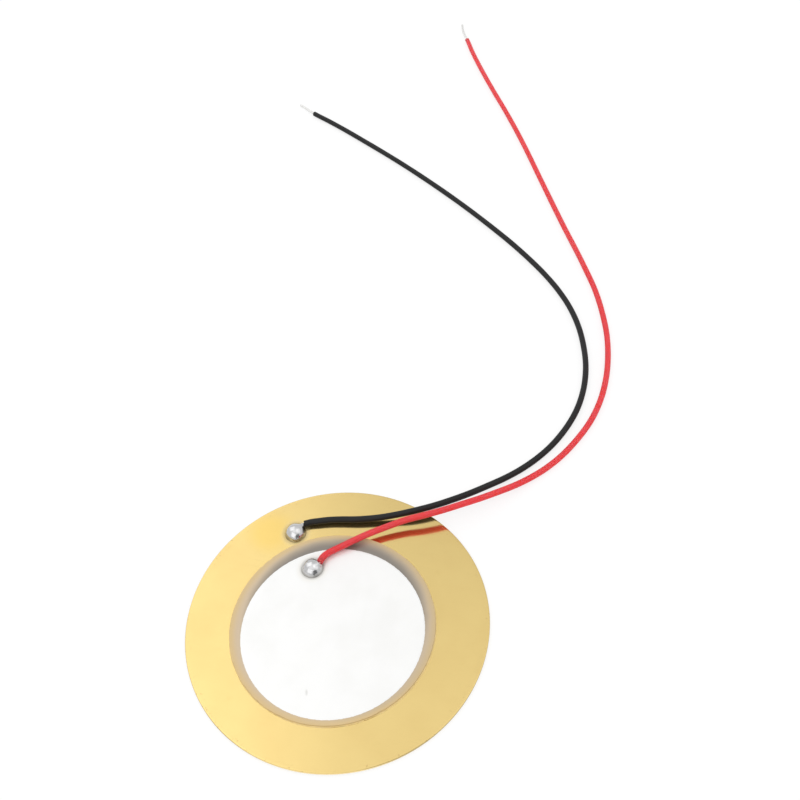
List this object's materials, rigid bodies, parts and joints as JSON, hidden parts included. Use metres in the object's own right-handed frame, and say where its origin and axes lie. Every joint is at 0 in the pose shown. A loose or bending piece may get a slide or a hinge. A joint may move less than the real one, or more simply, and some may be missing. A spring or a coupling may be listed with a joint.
{
  "type": "piezo disc",
  "caption": "Round brass piezo disc with an off-centre bonded ceramic and two soldered insulated leads with bare tinned tips.",
  "frame": {"origin": "centre of the brass plate's underside, on the surface that the part lies on", "axes": "+Z out of the ceramic side; +Y from the plate's centre towards the soldered joints and the free leads; +X to the side where the leads leave the plate"},
  "size_m": [0.0445, 0.1085, 0.0021],
  "materials": {
    "brass": "rolled sheet, bright",
    "glue": "cured clear amber epoxy",
    "fired_silver": "matte fired silver print",
    "piezo_ceramic": "matte as fired",
    "solder": "bright, slightly grained",
    "black_insulation": "satin",
    "red_insulation": "satin",
    "tinned_strands": "tinned, bright"
  },
  "bodies": {
    "root": {"brass_plate": "brass", "bond_film": "glue", "lower_electrode": "fired_silver", "ceramic_disc": "piezo_ceramic", "upper_electrode": "fired_silver", "brass_joint": "solder", "electrode_joint": "solder", "black_lead": "black_insulation", "red_lead": "red_insulation", "black_strands": "tinned_strands", "red_strands": "tinned_strands"}
  },
  "joints": []
}
